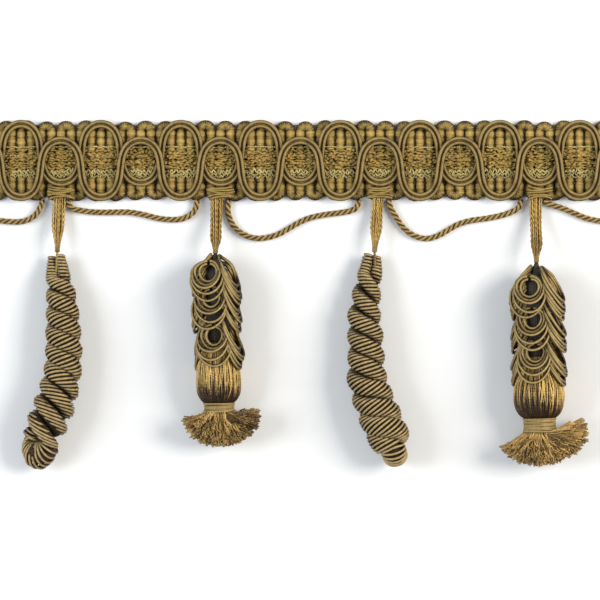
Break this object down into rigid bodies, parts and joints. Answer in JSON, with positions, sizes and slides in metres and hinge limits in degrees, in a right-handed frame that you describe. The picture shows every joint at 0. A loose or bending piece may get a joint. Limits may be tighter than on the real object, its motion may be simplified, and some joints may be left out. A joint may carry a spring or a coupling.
{
  "type": "tassel fringe trim",
  "caption": "Cut length of woven gimp braid with a cord in swags and alternating twisted and looped tassels, lying face up.",
  "frame": {"origin": "middle of the heading's flat back, half way along the length", "axes": "+X along the heading, +Y up the trim to the heading's plain edge so that the tassels lie towards -Y, +Z out of the face that shows"},
  "size_m": [0.2, 0.1109, 0.0169],
  "materials": {
    "ground": "woven rayon and cotton, matt with a slight sheen",
    "gimp": "wrapped gimp cord, low sheen",
    "cord": "twisted rayon cord, low sheen",
    "floss": "laid rayon floss, satin",
    "ruff": "cut yarn, matt"
  },
  "bodies": {
    "root": {"heading_ground": "ground", "gimp_wave_low": "gimp", "gimp_wave_high": "gimp", "swag_1": "cord", "swag_2": "cord", "swag_3": "cord", "swag_tail_left": "cord", "swag_tail_right": "cord", "tie_1": "floss", "hanger_1": "floss", "tie_2": "floss", "hanger_2": "floss", "tie_3": "floss", "hanger_3": "floss", "tie_4": "floss", "hanger_4": "floss", "twist_drop_1": "gimp", "twist_drop_3": "gimp", "looped_head_2": "gimp", "mould_2": "floss", "neck_binding_2": "floss", "ruff_2": "ruff", "looped_head_4": "gimp", "mould_4": "floss", "neck_binding_4": "floss", "ruff_4": "ruff"}
  },
  "joints": []
}
